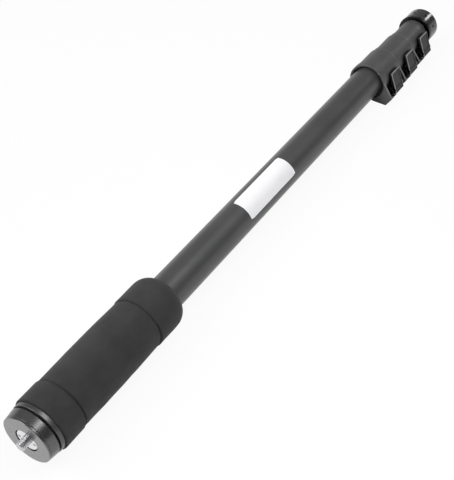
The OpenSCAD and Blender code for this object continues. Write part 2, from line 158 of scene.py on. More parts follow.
def turned(name, outline):
    """A ring-shaped piece turned about the axis from a closed outline of station and radius."""
    points = [on_axis(x, r, TURN * j / SEGMENTS) for x, r in outline for j in range(SEGMENTS)]
    return solid(name, points, grid_faces(len(outline), SEGMENTS, True))


def lofted(name, loops):
    """A piece through loops with equal counts of points, closed at both ends."""
    count = len(loops[0])
    points = [point for loop in loops for point in loop]
    ends = [tuple(range(count)), tuple(range(len(points) - count, len(points)))]
    return solid(name, points, grid_faces(len(loops), count, False) + ends)


def rod(name, start, end, r):
    """A straight round rod between two points."""
    along = (end - start).normalized()
    across = along.orthogonal().normalized()
    beside = along.cross(across)
    angles = [TURN * j / ROD_SIDES for j in range(ROD_SIDES)]
    ring = [(across * math.cos(angle) + beside * math.sin(angle)) * r for angle in angles]
    return lofted(name, [[start + point for point in ring], [end + point for point in ring]])


def inset(outline, distance):
    """A counter-clockwise outline moved inwards."""
    moved = []
    for i, here in enumerate(outline):
        back = (here - outline[i - 1]).normalized()
        ahead = (outline[(i + 1) % len(outline)] - here).normalized()
        inwards = Vector((-back.y - ahead.y, back.x + ahead.x))
        moved.append(here + inwards * 2 * distance / max(inwards.length_squared, CORNER_LIMIT))
    return moved


def at(x, place):
    """The point at station x over a place in the Y-Z section."""
    return Vector((x, place.x, place.y))


def extruded(name, outline, x0, x1, edge):
    """A piece with rounded rims that follows an outline in Y and Z from one station to another."""
    angles = [QUARTER * step / FILLET_STEPS for step in range(FILLET_STEPS + 1)]
    near = [(x0 + edge * (1 - math.sin(angle)), edge * (1 - math.cos(angle))) for angle in reversed(angles)]
    far = [(x0 + x1 - x, depth) for x, depth in reversed(near)]
    return lofted(name, [[at(x, p) for p in inset(outline, depth)] for x, depth in near + far])


def below(outline, height):
    """The part of an outline that lies under a height."""
    kept = []
    for i, here in enumerate(outline):
        before = outline[i - 1]
        if (before.y < height) != (here.y < height):
            kept.append(before.lerp(here, (height - before.y) / (here.y - before.y)))
        if here.y < height:
            kept.append(here)
    return kept


def cut(piece, *cutters):
    """Takes the space of the cutters out of a piece."""
    for cutter in cutters:
        change = piece.modifiers.new("cut", "BOOLEAN")
        change.operation = "DIFFERENCE"
        change.solver = "EXACT"
        change.object = cutter
    view = bpy.context.evaluated_depsgraph_get()
    mesh = bpy.data.meshes.new_from_object(piece.evaluated_get(view))
    piece.modifiers.clear()
    piece.data = mesh
    for cutter in cutters:
        bpy.data.objects.remove(cutter)
    return piece


def joined(name, *pieces):
    """One piece from several."""
    work = bmesh.new()
    for piece in pieces:
        work.from_mesh(piece.data)
        bpy.data.objects.remove(piece)
    mesh = bpy.data.meshes.new(name)
    work.to_mesh(mesh)
    work.free()
    whole = bpy.data.objects.new(name, mesh)
    bpy.context.scene.collection.objects.link(whole)
    return whole


def split_faces(piece):
    """Splits faces with many corners into triangles that keep inside their outlines."""
    work = bmesh.new()
    work.from_mesh(piece.data)
    many = [face for face in work.faces if len(face.verts) > 4]
    bmesh.ops.triangulate(work, faces=many, ngon_method="EAR_CLIP")
    work.to_mesh(piece.data)
    work.free()


def smooth(piece):
    """Smooth shading that keeps large faces flat and sharp edges sharp."""
    split_faces(piece)
    piece.data.polygons.foreach_set("use_smooth", [True] * len(piece.data.polygons))
    piece.data.set_sharp_from_angle(angle=SHARP)
    weighted = piece.modifiers.new("flat_faces", "WEIGHTED_NORMAL")
    weighted.keep_sharp = True
    weighted.weight = FLAT_WEIGHT


# Materials

BLUE_LEAN = 1.02  # greys are this much bluer than plain
NOISE_LOW = 0.3  # most values of a noise lie between these two
NOISE_HIGH = 0.7
TOOL_MARKS = 5000.0  # cycles per metre
CLOUDS = 150.0  # cycles per metre of a finish's faint unevenness
PAINTED_SHADE_REACH = 12.0  # distance over which painted shade darkens the plastic's deep pockets and corners
# near black that is painted into deep pockets and corners as shade
PAINTED_SHADE_GREY = 0.002
PAINTED_SHADE_OPEN = (0.35, 0.75)  # openness up to which the plastic is painted fully dark as shade, and from which it keeps its own grey
WEAR_AND_HIGHLIGHT_BEND = (0.52, 0.57)  # pointiness from which an edge is painted paler as highlight and wear, and at which it is fully pale
HIGHLIGHT_WEAR_FINISH = 1  # material index of edge faces painted paler as highlight and wear
# material index of faces painted near black as shade
PAINTED_SHADE_FINISH = 2


class Finish:
    """A procedural material, with short calls that add its nodes."""

    def __init__(self, name):
        self.material = bpy.data.materials.new(name)
        self.material.use_nodes = True
        self.tree = self.material.node_tree
        self.shader = self.tree.nodes["Principled BSDF"]
        self.place = self.node("ShaderNodeTexCoord").outputs["Object"]

    def node(self, kind, inputs=None, **settings):
        """Adds a node with its inputs and settings."""
        made = self.tree.nodes.new(kind)
        for key, value in settings.items():
            setattr(made, key, value)
        for key, value in (inputs or {}).items():
            self.feed(made.inputs[key], value)
        return made

    def feed(self, socket, value):
        """Links another node's output to a socket, or sets the socket to a plain value."""
        if isinstance(value, bpy.types.NodeSocket):
            self.tree.links.new(value, socket)
        else:
            socket.default_value = value

    def surface(self, **values):
        """Feeds the shader's inputs, named with an underscore for each space."""
        for key, value in values.items():
            self.feed(self.shader.inputs[key.replace("_", " ")], value)

    def stretched(self, scale):
        """Object coordinates times a scale for each axis."""
        mapping = self.node("ShaderNodeMapping", {"Vector": self.place, "Scale": scale})
        return mapping.outputs["Vector"]

    def grain(self, scale, detail=2.0, vector=None):
        """Noise from 0 to 1 at a scale in cycles per metre."""
        inputs = {"Vector": vector or self.place, "Scale": scale, "Detail": detail}
        return self.node("ShaderNodeTexNoise", inputs).outputs["Fac"]

    def turning(self):
        """Coordinates that are equal all around the tube axis: the distance from it and along it."""
        across = self.node("ShaderNodeVectorMath", {0: self.place, 1: (0, 1, 1)}, operation="MULTIPLY")
        reach = self.node("ShaderNodeVectorMath", {0: across.outputs["Vector"]}, operation="LENGTH")
        along = self.node("ShaderNodeSeparateXYZ", {"Vector": self.place})
        inputs = {"X": reach.outputs["Value"], "Y": along.outputs["X"]}
        return self.node("ShaderNodeCombineXYZ", inputs).outputs["Vector"]

    def between(self, value, low, high, start=0.0, end=1.0):
        """A value from start to end, drawn out to the range from low to high."""
        inputs = {"Value": value, "From Min": start, "From Max": end, "To Min": low, "To Max": high}
        return self.node("ShaderNodeMapRange", inputs).outputs["Result"]

    def tint(self, value, *stops):
        """A colour from stops, each a position and a grey or a colour."""
        ramp = self.node("ShaderNodeValToRGB", {"Fac": value})
        elements = ramp.color_ramp.elements
        while len(elements) < len(stops):
            elements.new(1.0)
        for element, (position, grey) in zip(elements, stops):
            element.position = position
            element.color = (*grey, 1) if isinstance(grey, tuple) else (grey, grey, grey * BLUE_LEAN, 1)
        return ramp.outputs["Color"]

    def mixed(self, share, first, second):
        """A colour between two others."""
        inputs = {"Fac": share, "Color1": first, "Color2": second}
        return self.node("ShaderNodeMixRGB", inputs).outputs["Color"]

    def bump(self, height, depth, strength=1.0):
        """Surface relief of the given depth in millimetres."""
        inputs = {"Height": height, "Distance": depth * MM, "Strength": strength}
        self.feed(self.shader.inputs["Normal"], self.node("ShaderNodeBump", inputs).outputs["Normal"])


def satin_tube():
    """Dark satin paint over a drawn tube, with faint lines along its length."""
    made = Finish("satin_tube")
    lines = made.grain(1.0, 3.0, made.stretched((12, 2200, 2200)))
    made.surface(
        Base_Color=made.tint(made.grain(40.0), (0.35, 0.053), (0.65, 0.06)),
        Roughness=made.between(lines, 0.32, 0.4, NOISE_LOW, NOISE_HIGH),
    )
    made.bump(lines, 0.004)
    return made.material


def turned_metal(name, grey, metallic, rough, face=None):
    """Dark turned metal with fine tool marks all around, and a paler end face where asked."""
    made = Finish(name)
    marks = made.grain(TOOL_MARKS, 2.0, made.turning())
    cloud = made.grain(CLOUDS, 3.0)
    colour = made.tint(cloud, (NOISE_LOW, grey * 0.94), (NOISE_HIGH, grey * 1.06))
    if face:
        station = made.node("ShaderNodeSeparateXYZ", {"Vector": made.place}).outputs["X"]
        on_face = made.between(station, 1.0, 0.0, 0.0, EDGE * MM)
        pale = made.tint(cloud, (NOISE_LOW, face * 0.96), (NOISE_HIGH, face * 1.04))
        colour = made.mixed(on_face, colour, pale)
    made.surface(
        Base_Color=colour,
        Metallic=metallic,
        Roughness=made.between(cloud, *rough, NOISE_LOW, NOISE_HIGH),
    )
    made.bump(marks, 0.002)
    return made.material


def gloss_paint(name, grey, rough):
    """Dark smooth paint over turned metal, whose tool marks still show a little."""
    made = Finish(name)
    cloud = made.grain(CLOUDS, 3.0)
    made.surface(
        Base_Color=made.tint(cloud, (NOISE_LOW, grey * 0.94), (NOISE_HIGH, grey * 1.06)),
        Roughness=made.between(cloud, *rough, NOISE_LOW, NOISE_HIGH),
    )
    made.bump(made.grain(TOOL_MARKS, 2.0, made.turning()), 0.002)
    return made.material


def plated_steel(name, grey, rough):
    """Bright plated or plain metal with fine scratches, about as rough as asked."""
    made = Finish(name)
    scratches = made.grain(1.0, 2.0, made.stretched((300, 4000, 900)))
    made.surface(
        Base_Color=made.tint(made.grain(500.0), (NOISE_LOW, grey * 0.95), (NOISE_HIGH, grey)),
        Metallic=1.0,
        Roughness=made.between(scratches, rough * 0.7, rough * 1.3, 0.35, 0.65),
    )
    made.bump(scratches, 0.002)
    return made.material


def turned_brass():
    made = Finish("turned_brass")
    dull, bright = (0.55, 0.38, 0.14), (0.66, 0.48, 0.2)
    made.surface(
        Base_Color=made.tint(made.grain(400.0), (NOISE_LOW, dull), (NOISE_HIGH, bright)),
        Metallic=1.0,
        Roughness=made.between(made.grain(900.0), 0.2, 0.34),
    )
    return made.material


def moulded_plastic(name, grey, rough, wear_and_highlight=1.0, shine=0.5):
    """Moulded plastic with a fine spark-eroded grain, edges painted paler as highlight and wear, and deep
    corners painted dark as shade.
    """
    made = Finish(name)
    grain = made.grain(2600.0, 3.0)
    cloud = made.tint(made.grain(120.0, 3.0), (NOISE_LOW, grey * 0.9), (NOISE_HIGH, grey * 1.1))
    # painted highlight and wear: convex edges are made paler by their pointiness
    bend = made.node("ShaderNodeNewGeometry").outputs["Pointiness"]
    pale = min(grey * wear_and_highlight, 1.0)
    edged = made.mixed(made.between(bend, 0.0, 1.0, *WEAR_AND_HIGHLIGHT_BEND), cloud, (pale, pale, pale, 1))
    # painted shade: ambient occlusion darkens the colour and dims the shine in deep pockets and corners
    occlusion = made.node("ShaderNodeAmbientOcclusion", {"Distance": PAINTED_SHADE_REACH * MM}, samples=8)
    unshaded_share = made.between(occlusion.outputs["AO"], 0.0, 1.0, *PAINTED_SHADE_OPEN)
    made.surface(
        Base_Color=made.mixed(unshaded_share, (PAINTED_SHADE_GREY, PAINTED_SHADE_GREY, PAINTED_SHADE_GREY, 1), edged),
        Roughness=made.between(grain, *rough, NOISE_LOW, NOISE_HIGH),
        Specular_IOR_Level=made.between(unshaded_share, 0.1, shine),
    )
    made.bump(grain, 0.012)
    return made.material


def closed_cell_foam():
    """Charcoal foam rubber with fine cells."""
    made = Finish("closed_cell_foam")
    cells = made.node("ShaderNodeTexVoronoi", {"Vector": made.place, "Scale": 1300.0}).outputs["Distance"]
    cloud = made.grain(70.0, 4.0)
    height = made.node("ShaderNodeMath", {0: cells, 1: made.grain(3000.0, 3.0)}, operation="ADD")
    made.surface(
        Base_Color=made.tint(cloud, (NOISE_LOW, 0.032), (NOISE_HIGH, 0.043)),
        Roughness=made.between(cells, 0.75, 0.95),
        Specular_IOR_Level=0.2,
        Sheen_Weight=0.08,
        Sheen_Roughness=0.5,
    )
    made.bump(height.outputs["Value"], 0.05, 0.7)
    return made.material


def label_film():
    """White film, faintly mottled, with a satin surface."""
    made = Finish("label_film")
    made.surface(
        Base_Color=made.tint(made.grain(180.0, 4.0), (NOISE_LOW, 0.92), (NOISE_HIGH, 0.96)),
        Roughness=made.between(made.grain(1500.0), 0.32, 0.42),
    )
    made.bump(made.grain(400.0, 3.0), 0.01)
    return made.material


def black_rubber():
    made = Finish("black_rubber")
    grain = made.grain(1800.0, 4.0)
    made.surface(
        Base_Color=made.tint(made.grain(CLOUDS, 3.0), (NOISE_LOW, 0.016), (NOISE_HIGH, 0.024)),
        Roughness=made.between(grain, 0.7, 0.9),
    )
    made.bump(grain, 0.02)
    return made.material


FINISHES = {
    "platform": turned_metal("platform_metal", grey=0.115, metallic=0.85, rough=(0.23, 0.29), face=0.25),
    "stud": plated_steel("stud_plating", grey=0.78, rough=0.2),
    "steel": plated_steel("plain_steel", grey=0.56, rough=0.28),
    "brass": turned_brass(),
    "dark_fibre": moulded_plastic("dark_fibre", grey=0.012, rough=(0.7, 0.9)),
    "head_gloss": turned_metal("head_metal", grey=0.09, metallic=0.7, rough=(0.32, 0.4)),
    "foam": closed_cell_foam(),
    "label": label_film(),
    "tube": satin_tube(),
    "bush": moulded_plastic("bush_plastic", grey=0.7, rough=(0.4, 0.5)),
    # the collars' edges are painted paler as highlight and wear
    "lock_plastic": moulded_plastic("lock_plastic", grey=0.072, rough=(0.42, 0.52), wear_and_highlight=2.5),
    # a paler copy of the collar plastic for its far end's edge: painted highlight and wear
    "lock_edge_highlight_wear": moulded_plastic("lock_edge_highlight_wear", grey=0.25, rough=(0.42, 0.52)),
    # painted shade: a near-black, dull copy of the plastic for the near cheek in the pocket
    "pocket": moulded_plastic("pocket_shade_plastic", grey=0.006, rough=(0.6, 0.7), shine=0.1),
    "lever_plastic": moulded_plastic("lever_plastic", grey=0.025, rough=(0.42, 0.5), shine=0.3),
    # a paler copy of the lever plastic for its rounded edges: painted highlight and wear
    "lever_edge": moulded_plastic("lever_edge", grey=0.3, rough=(0.42, 0.5)),
    "foot_ring": turned_metal("ring_metal", grey=0.03, metallic=1.0, rough=(0.25, 0.32)),
    "foot_gloss": gloss_paint("foot_paint", grey=0.034, rough=(0.15, 0.2)),
    "rubber": black_rubber(),
}


def dress(piece, node):
    """Gives a piece the finish of a CAD node's slot."""
    if piece.data.materials:
        piece.data.materials.clear()
    piece.data.materials.append(FINISHES[slot_of[node]])


def stand_for(piece, node):
    """The piece takes a CAD node's place: its body and its finish."""
    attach(piece, nodes[node]["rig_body"])
    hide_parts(node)
    smooth(piece)
    dress(piece, node)


# Head

SHANK_R = 4.02
PLATFORM_FACE_R = 17.65
PLATFORM_LINE_X = 1.5  # fine turned line beside the platform's face
PLATFORM_LINE_W = 0.45
PLATFORM_LINE_DEPTH = 0.25
PLATFORM_LINE_EDGE = 0.05
FLANGE_SEAT_R = 8.35
FLANGE_SEAT_X = 2.0  # floor of the platform's pocket, on which the stud's flange sits
FLANGE_SEAT_EDGE = 0.15
FLANGE_R = 7.9
FLANGE_EDGE = 0.4
FLANGE_BORE_R = 2.4
FLANGE_SUNK = 0.5
WASHER_EDGE = 0.3
SPANNER_HOLE_R = 1.0
SPANNER_HOLE_REACH = 5.7
SPANNER_HOLE_DEPTH = 0.9
PLUG_SPIGOT_R = 11.78
PLUG_CAVITY_R = 8.2
PLUG_WEB = 5.4


def platform_disc():
    """The turned platform with a pocket for the stud's flange and a fine line beside its face."""
    node = "platform_disc"
    x0, x1 = span(node)
    r = outer_radius(node)
    line_r = PLATFORM_FACE_R + (r - PLATFORM_FACE_R) * PLATFORM_LINE_X / (x1 - x0)
    line_x = x0 + PLATFORM_LINE_X
    outline = rounded([
        (FLANGE_SEAT_X, SHANK_R, 0),
        (FLANGE_SEAT_X, FLANGE_SEAT_R, 0),
        (x0, FLANGE_SEAT_R, FLANGE_SEAT_EDGE),
        (x0, PLATFORM_FACE_R, EDGE),
        (line_x, line_r, PLATFORM_LINE_EDGE),
        (line_x + PLATFORM_LINE_W / 2, line_r - PLATFORM_LINE_DEPTH, 0),
        (line_x + PLATFORM_LINE_W, line_r, PLATFORM_LINE_EDGE),
        (x1, r, EDGE),
        (x1, SHANK_R, 0),
    ])
    stand_for(turned("platform_disc_turned", outline), node)


def head_washer():
    node = "head_washer"
    x0, x1 = span(node)
    r = outer_radius(node)
    outline = rounded([(x0, SHANK_R, 0), (x0, r, WASHER_EDGE), (x1, r, WASHER_EDGE), (x1, SHANK_R, 0)])
    stand_for(turned("head_washer_ring", outline), node)


def head_plug():
    """The plug's flange, its web and its spigot in the tube."""
    node = "head_plug"
    x0, x1 = span(node)
    r = outer_radius(node)
    tube_x = span("tube_1")[0]
    web_x = tube_x + PLUG_WEB
    outline = rounded([
        (x0, SHANK_R, 0), (x0, r, EDGE), (tube_x, r, EDGE), (tube_x, PLUG_SPIGOT_R, 0),
        (x1, PLUG_SPIGOT_R, 0), (x1, PLUG_CAVITY_R, 0), (web_x, PLUG_CAVITY_R, 0), (web_x, SHANK_R, 0),
    ])
    stand_for(turned("head_plug_turned", outline), node)


def stud_flange():
    """The stud's flange, sunk a little in the platform's pocket, with two spanner holes."""
    outline = rounded([
        (FLANGE_SUNK, FLANGE_BORE_R, 0), (FLANGE_SUNK, FLANGE_R, FLANGE_EDGE),
        (FLANGE_SEAT_X, FLANGE_R, 0), (FLANGE_SEAT_X, FLANGE_BORE_R, 0),
    ])
    holes = []
    for angle in (QUARTER, -QUARTER):
        bottom = on_axis(FLANGE_SUNK + SPANNER_HOLE_DEPTH, SPANNER_HOLE_REACH, angle)
        top = on_axis(-OVERCUT, SPANNER_HOLE_REACH, angle)
        holes.append(rod("spanner_hole", bottom, top, SPANNER_HOLE_R))
    stand_for(cut(turned("stud_flange", outline), *holes), "camera_stud")


STUD_R = 3.175
THREAD_PITCH = 1.27
THREAD_DEPTH = 0.6
THREAD_FLANK = 2.6  # steepness of the thread's flanks, which leaves a flat on the crest
THREAD_TIP = 0.7  # bevel at the stud's end
THREAD_STEPS = 16  # rows of the thread for each pitch
THREAD_SEGMENTS = 72


def stud_thread():
    """The stud's screw thread, duller than its flange: rows that climb one pitch for each turn."""
    x0 = span("camera_stud")[0]
    length = FLANGE_SEAT_X - x0
    rows = int(length / THREAD_PITCH * THREAD_STEPS)
    loops = []
    for i in range(rows + 1):
        x = x0 + length * i / rows
        tip = max(0.0, THREAD_TIP - (x - x0))
        loop = []
        for j in range(THREAD_SEGMENTS):
            phase = (x / THREAD_PITCH + j / THREAD_SEGMENTS) % 1.0
            ridge = min(1.0, THREAD_FLANK * abs(phase - 0.5))
            r = min(STUD_R - THREAD_DEPTH * (1.0 - ridge), STUD_R - tip)
            loop.append(on_axis(x, r, TURN * j / THREAD_SEGMENTS))
        loops.append(loop)
    thread = lofted("stud_thread", loops)
    stand_for(thread, "camera_stud")
    thread.data.materials[0] = FINISHES["steel"]


# Grip

GRIP_BAND_R = 20.15
GRIP_CROWN_R = 20.0
GRIP_WAIST_R = 19.5
GRIP_LOW_BAND = 17.6
GRIP_TOP_BAND = 28.6
GRIP_ROUND = 9.6
GRIP_GROOVE_R = 18.6
GRIP_GROOVE_W = 1.3
GRIP_EDGE = 0.9
GRIP_STEP = 0.45  # spacing of the grip's rows
GRIP_SEGMENTS = 220
GRIP_LUMP = 0.1  # height of the foam's unevenness
GRIP_LUMP_SIZE = 9.0
GRIP_LUMP_FADE = 3.0  # the unevenness fades towards the tube over this height
GRIP_LUMP_SINK = 0.6  # mean depth of the unevenness, as a share of its height


def eased(distance, edge):
    """Share of a rounded edge's height at a distance from its start."""
    u = min(max(distance / edge, 0.0), 1.0)
    return math.sqrt(1.0 - (1.0 - u) ** 2)


def grip_radius(x, x0, x1):
    """Radius of the foam along the grip."""
    low = x0 + GRIP_LOW_BAND
    top = x1 - GRIP_TOP_BAND
    if x <= low:
        edge = min(eased(x - x0, GRIP_EDGE), eased(low - x, GRIP_EDGE))
        return GRIP_BAND_R - GRIP_EDGE * (1.0 - edge)
    if x >= top:
        far = 1.0 - min(max((x1 - x) / GRIP_ROUND, 0.0), 1.0)
        round_r = TUBE_R[1] + (GRIP_BAND_R - TUBE_R[1]) * math.sqrt(max(0.0, 1.0 - far * far))
        return min(GRIP_BAND_R - GRIP_EDGE * (1.0 - eased(x - top, GRIP_EDGE)), round_r)
    u = (x - low) / (top - low)
    crown = GRIP_WAIST_R + (GRIP_CROWN_R - GRIP_WAIST_R) * 4 * u * (1 - u)
    dip = max(0.0, 1.0 - min(x - low, top - x) / GRIP_GROOVE_W)
    return crown - (crown - GRIP_GROOVE_R) * math.sqrt(dip)


def foam_grip():
    """The foam sleeve with two grooves, a rounded far end and a slightly uneven skin."""
    node = "foam_grip"
    x0, x1 = span(node)
    rows = int((x1 - x0) / GRIP_STEP)
    points = []
    for i in range(-1, rows + 1):
        x = x0 + (x1 - x0) * max(i, 0) / rows
        r = TUBE_R[1] if i < 0 else grip_radius(x, x0, x1)
        lump = GRIP_LUMP * min(1.0, (r - TUBE_R[1]) / GRIP_LUMP_FADE)
        for j in range(GRIP_SEGMENTS):
            angle = TURN * j / GRIP_SEGMENTS
            place = on_axis(x, r, angle) / GRIP_LUMP_SIZE
            points.append(on_axis(x, r + lump * (noise.noise(place) - GRIP_LUMP_SINK), angle))
    piece = solid("foam_sleeve", points, grid_faces(rows + 2, GRIP_SEGMENTS, True))
    stand_for(piece, node)


# Label

LABEL_ARC = math.radians(88)
LABEL_TURN = math.radians(26)  # of the label's middle, from the top towards the levers
LABEL_CORNER = 0.7
LABEL_ROWS = 24
LABEL_COLUMNS = 48
LABEL_T = 0.15
LABEL_LIFT = 0.02


def half_width(from_end, half):
    """Half width of a sheet with rounded corners at a distance from its end."""
    inside = max(0.0, LABEL_CORNER - from_end)
    return half - LABEL_CORNER + math.sqrt(LABEL_CORNER ** 2 - inside ** 2)


def label_sheet():
    """A bare sheet with rounded corners, bent around the tube."""
    node = "label"
    x0, x1 = span(node)
    r0 = TUBE_R[1] + LABEL_LIFT
    half_x = (x1 - x0) / 2
    half_s = LABEL_ARC * r0 / 2
    loops = []
    for i in range(LABEL_ROWS + 1):
        u = half_x * (2 * i / LABEL_ROWS - 1)
        reach = half_width(half_x - abs(u), half_s) / r0
        angles = [LABEL_TURN + reach * (2 * j / LABEL_COLUMNS - 1) for j in range(LABEL_COLUMNS + 1)]
        under = [on_axis(x0 + half_x + u, r0, angle) for angle in angles]
        over = [on_axis(x0 + half_x + u, r0 + LABEL_T, angle) for angle in reversed(angles)]
        loops.append(under + over)
    stand_for(lofted("label_sheet", loops), node)


# Lock collars

COLLAR_WALL = 2.55
LIP_LEN = 6.0
LIP_H = 0.65
LIP_EDGE = 0.3
LIP_ROOT = 0.6  # fillet where the lip meets the collar
MOUTH_DEPTH = 3.0
MOUTH_GAP = 1.3
MOUTH_EDGE = 0.2
COLLAR_EDGE = 0.5
COLLAR_ROOT = 1.2  # depth to which the ear and the cheeks are rooted in the collar's wall
TUBE_FIT = 0.05
SEAT_FIT = 0.02
EAR_WALL = 2.2
EAR_DROP = 8.97  # from the hinge pin down to the ear's flat foot
EAR_FOOT_IN = 11.4  # ends of the foot, inwards and outwards from the pin
EAR_FOOT_OUT = 0.4
EAR_NOSE_OUT = 5.2  # the ear's nose, outwards and down from the pin
EAR_NOSE_DROP = 1.3
EAR_CORNER = 0.9
EAR_EDGE = 0.4
EAR_SINK = 0.3  # depth in the collar's wall at which the ear's outline ends
EAR_ARC_STEPS = 12
POCKET_W = 6.3  # the open pocket between the ear's wall and the near cheek
POCKET_FLOOR = 6.0  # heights of the pocket's floor and back above the ear's foot
POCKET_BACK = 7.17
CHEEK_W = 2.5
CHEEK_R = 2.3
CHEEK_STEPS = 16
COLLAR_TAIL = 2.5  # length of the collar past the far cheek
PIN_R = 1.5
PIN_FIT = 0.02
SHOE_FIT = 0.1
SHOE_H = 8.0
SCREW_HEAD_R = 2.2
SCREW_HEAD_H = 1.2
LEVER_TILT = math.radians(22)
FACE_NORMAL = Vector((-math.cos(LEVER_TILT), math.sin(LEVER_TILT)))  # of a closed lever, in Y and Z
FACE_DOWN = Vector((-math.sin(LEVER_TILT), -math.cos(LEVER_TILT)))


def pin_of(k):
    """Place of a lock's hinge pin in the Y-Z section."""
    return Vector(joints[f"lever_{k}_flip"]["pos_m"][1:]) / MM


def landing(place, r, side):
    """Point in a collar's wall towards which a line from a place runs nearly tangent to the collar."""
    angle = math.atan2(place.y, place.x) + side * math.acos(r / place.length)
    return Vector((math.cos(angle), math.sin(angle))) * (r - EAR_SINK)


def ear_outline(k):
    """Outline of a lock's ear, from the collar's wall round its nose and its flat foot."""
    r = TUBE_R[k] + COLLAR_WALL
    pin = pin_of(k)
    nose = pin - Vector((EAR_NOSE_OUT, EAR_NOSE_DROP))
    foot_out = pin - Vector((EAR_FOOT_OUT, EAR_DROP))
    foot_in = pin + Vector((EAR_FOOT_IN, -EAR_DROP))
    upper = landing(nose, r, -1)
    lower = landing(foot_in, r, 1)
    start = math.atan2(lower.y, lower.x) % TURN
    end = math.atan2(upper.y, upper.x) % TURN
    corners = [(*upper, 0)]
    corners += [(*corner, EAR_CORNER) for corner in (nose, foot_out, foot_in)]
    corners += [(*lower, 0)]
    for step in range(EAR_ARC_STEPS + 1):
        angle = start + (end - start) * step / EAR_ARC_STEPS
        corners.append(((r - COLLAR_ROOT) * math.cos(angle), (r - COLLAR_ROOT) * math.sin(angle), 0))
    return rounded(corners)


def cheek_outline(k):
    """Outline of a cheek, from the collar's wall out around the hinge pin."""
    pin = pin_of(k)
    out = pin.normalized()
    side = Vector((-out.y, out.x))
    root = out * (TUBE_R[k] + COLLAR_WALL - COLLAR_ROOT)
    angles = [QUARTER * (2 * step / CHEEK_STEPS - 1) for step in range(CHEEK_STEPS + 1)]
    arc = [pin + (out * math.cos(angle) + side * math.sin(angle)) * CHEEK_R for angle in angles]
    return [root - side * CHEEK_R, *arc, root + side * CHEEK_R]


def collar_body(k, x0, x1):
    """The turned part of a collar, with its lip, its open mouth and its bores."""
    r = TUBE_R[k] + COLLAR_WALL
    mouth_r = TUBE_R[k] + MOUTH_GAP
    seat_r = TUBE_R[k] + SEAT_FIT
    bore_r = TUBE_R[k + 1] + TUBE_FIT
    seat = span(f"tube_{k}")[1]
    return turned("collar_body", rounded([
        (x0, mouth_r, MOUTH_EDGE), (x0, r + LIP_H, COLLAR_EDGE), (x0 + LIP_LEN, r + LIP_H, LIP_EDGE),
        (x0 + LIP_LEN + LIP_H, r, LIP_ROOT), (x1, r, COLLAR_EDGE), (x1, bore_r, 0), (seat, bore_r, 0),
        (seat, seat_r, 0), (x0 + MOUTH_DEPTH, seat_r, 0), (x0 + MOUTH_DEPTH, mouth_r, 0),
    ]))


def mark_end(body, k, x1):
    """Marks the rounded edge at the far end of a collar's turned body for the paler finish of painted
    highlight and wear.
    """
    r = TUBE_R[k] + COLLAR_WALL
    for face in body.data.polygons:
        centre = face.center / MM
        if centre.x > x1 - COLLAR_EDGE and math.hypot(centre.y, centre.z) > r - COLLAR_EDGE:
            face.material_index = HIGHLIGHT_WEAR_FINISH
    return body


def mark_all(piece, index):
    """Marks all faces of a piece for one of the finishes."""
    for face in piece.data.polygons:
        face.material_index = index
    return piece


def shoe_window(k):
    """The space that a brake shoe needs in its collar's wall."""
    out = pin_of(k).normalized()
    half = Vector((-out.y, out.x)) * (SHOE_H / 2 + SHOE_FIT)
    inner = out * TUBE_R[k + 1] / 2
    outer = out * pin_of(k).length
    corners = [inner - half, outer - half, outer + half, inner + half]
    x0, x1 = span(f"brake_shoe_{k}")
    stations = (x0 - SHOE_FIT, x1 + SHOE_FIT)
    return lofted("shoe_window", [[at(x, corner) for corner in corners] for x in stations])


def screw_recess(k):
    """The counterbore for a collar's screw, opposite the lever."""
    x = sum(span(f"collar_screw_{k}")) / 2
    r = TUBE_R[k] + COLLAR_WALL
    bottom = at(x, -FACE_NORMAL * (r - SCREW_HEAD_H))
    return rod("screw_recess", bottom, at(x, -FACE_NORMAL * (r + OVERCUT)), SCREW_HEAD_R)


def lock_collar(k):
    """A moulded collar: its turned body, the ear's wall and floor, and the two cheeks for the pin."""
    node = f"lock_collar_{k}"
    x0, x1 = span(node)
    near = x0 + EAR_WALL + POCKET_W
    far = x1 - COLLAR_TAIL - CHEEK_W
    pin = pin_of(k)
    foot = pin.y - EAR_DROP
    ear = ear_outline(k)
    cheek = cheek_outline(k)
    floor_outline = below(ear, foot + POCKET_FLOOR)
    back_outline = below(ear, foot + POCKET_BACK)
    pin_hole = rod("pin_hole", at(far - OVERCUT, pin), at(far + CHEEK_W + OVERCUT, pin), PIN_R + PIN_FIT)
    collar = joined(
        f"{node}_moulded",
        mark_end(cut(collar_body(k, x0, x1), shoe_window(k), screw_recess(k)), k, x1),
        extruded("ear_wall", ear, x0, x0 + EAR_WALL, EAR_EDGE),
        extruded("pocket_floor", floor_outline, x0 + EAR_WALL / 2, near + CHEEK_W / 2, EAR_EDGE),
        extruded("pocket_back", back_outline, near, near + CHEEK_W, EAR_EDGE),
        mark_all(extruded("near_cheek", cheek, near, near + CHEEK_W, EAR_EDGE), PAINTED_SHADE_FINISH),
        cut(extruded("far_cheek", cheek, far, far + CHEEK_W, EAR_EDGE), pin_hole),
    )
    stand_for(collar, node)
    # the far end's edge is painted paler as highlight and wear, and the near cheek near black as shade
    for finish in ("lock_edge_highlight_wear", "pocket"):
        collar.data.materials.append(FINISHES[finish])


# Levers

LEVER_LEN = 18.9
LEVER_T = 2.6
LEVER_CORNER = 1.0
LEVER_LEAST_CORNER = 0.3
LEVER_EDGE = 0.6
LEVER_BACK_EDGE = 0.4
LEVER_BORE_FIT = 0.05
LEVER_RIM = 1.4
LEVER_RIM_EDGE = 0.3
LEVER_DISH = 0.5
LEVER_SLOPE = 0.4  # width of the slope from the rim down into the dish
LEVER_CORE = 4.0  # inset at which the lever's flat middle begins
LEVER_CORNER_STEPS = 6
LEVER_EDGE_ROW = 2 + FILLET_STEPS  # first row of faces on the rounded outer edge
KNUCKLE_R = 3.6
KNUCKLE_STEPS = 48
CAM_LIFT = 0.6


